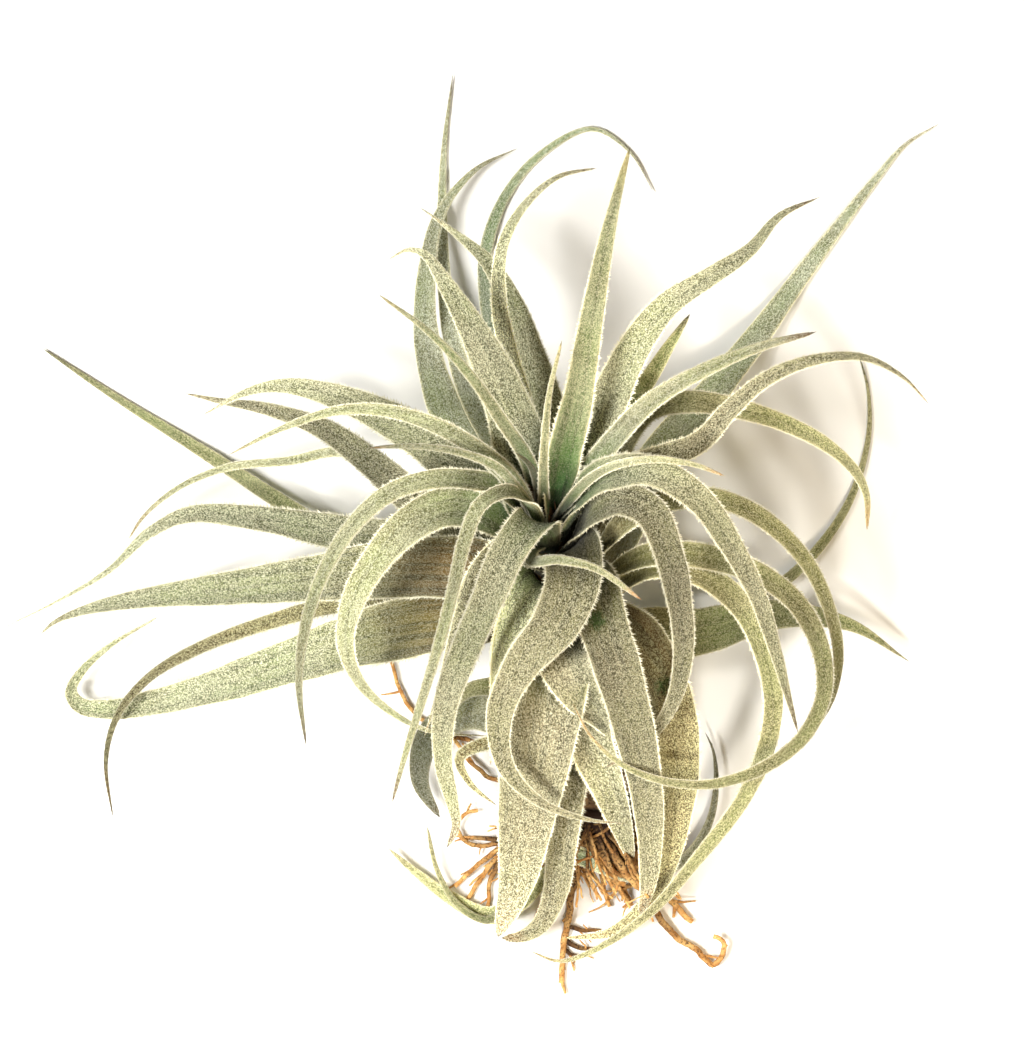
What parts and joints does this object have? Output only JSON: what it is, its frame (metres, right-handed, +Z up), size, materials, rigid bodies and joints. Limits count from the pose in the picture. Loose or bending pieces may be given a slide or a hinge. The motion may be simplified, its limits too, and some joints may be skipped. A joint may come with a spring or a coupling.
{
  "type": "air plant",
  "caption": "Air plant as picked: rosette of silvery felted leaves with long curling tips on a short stem, with wiry roots at its foot.",
  "frame": {"origin": "middle of the flat spot under the foot, on the surface the plant lies on", "axes": "+Z up from the surface, +Y from the foot towards the crown's side, +X to the right as seen from above"},
  "size_m": [0.2326, 0.2276, 0.105],
  "materials": {
    "felted_leaf": "silver-grey felt of fine scales over pale green, tan tips",
    "green_leaf": "darker green with a thin grey felt",
    "woody_stem": "dull dry bark with rings of leaf scars",
    "root_wire": "dry wiry orange-brown"
  },
  "bodies": {
    "root": {"stem": "woody_stem", "crown_leaf_01": "felted_leaf", "crown_leaf_02": "felted_leaf", "crown_leaf_03": "felted_leaf", "crown_leaf_04": "felted_leaf", "crown_leaf_05": "felted_leaf", "inner_leaf_01": "felted_leaf", "inner_leaf_02": "felted_leaf", "inner_leaf_03": "felted_leaf", "inner_leaf_04": "felted_leaf", "inner_leaf_05": "felted_leaf", "inner_leaf_06": "felted_leaf", "inner_leaf_07": "felted_leaf", "inner_leaf_08": "felted_leaf", "inner_leaf_09": "felted_leaf", "inner_leaf_10": "felted_leaf", "inner_leaf_11": "felted_leaf", "inner_leaf_12": "felted_leaf", "inner_leaf_13": "felted_leaf", "inner_leaf_14": "felted_leaf", "inner_leaf_15": "felted_leaf", "inner_leaf_16": "green_leaf", "inner_leaf_17": "felted_leaf", "inner_leaf_18": "felted_leaf", "inner_leaf_19": "felted_leaf", "inner_leaf_20": "felted_leaf", "inner_leaf_21": "felted_leaf", "outer_leaf_01": "felted_leaf", "outer_leaf_02": "felted_leaf", "outer_leaf_03": "felted_leaf", "outer_leaf_04": "felted_leaf", "outer_leaf_05": "felted_leaf", "outer_leaf_06": "felted_leaf", "outer_leaf_07": "felted_leaf", "outer_leaf_08": "felted_leaf", "outer_leaf_09": "felted_leaf", "outer_leaf_10": "felted_leaf", "outer_leaf_11": "felted_leaf", "outer_leaf_12": "felted_leaf", "outer_leaf_13": "felted_leaf", "outer_leaf_14": "green_leaf", "outer_leaf_15": "felted_leaf", "outer_leaf_16": "felted_leaf", "outer_leaf_17": "green_leaf", "outer_leaf_18": "green_leaf", "outer_leaf_19": "felted_leaf", "old_leaf_01": "green_leaf", "old_leaf_02": "green_leaf", "old_leaf_03": "felted_leaf", "old_leaf_04": "green_leaf", "old_leaf_05": "green_leaf", "old_leaf_06": "felted_leaf", "old_leaf_07": "green_leaf", "old_leaf_08": "green_leaf", "old_leaf_09": "green_leaf", "roots": "root_wire"}
  },
  "joints": []
}
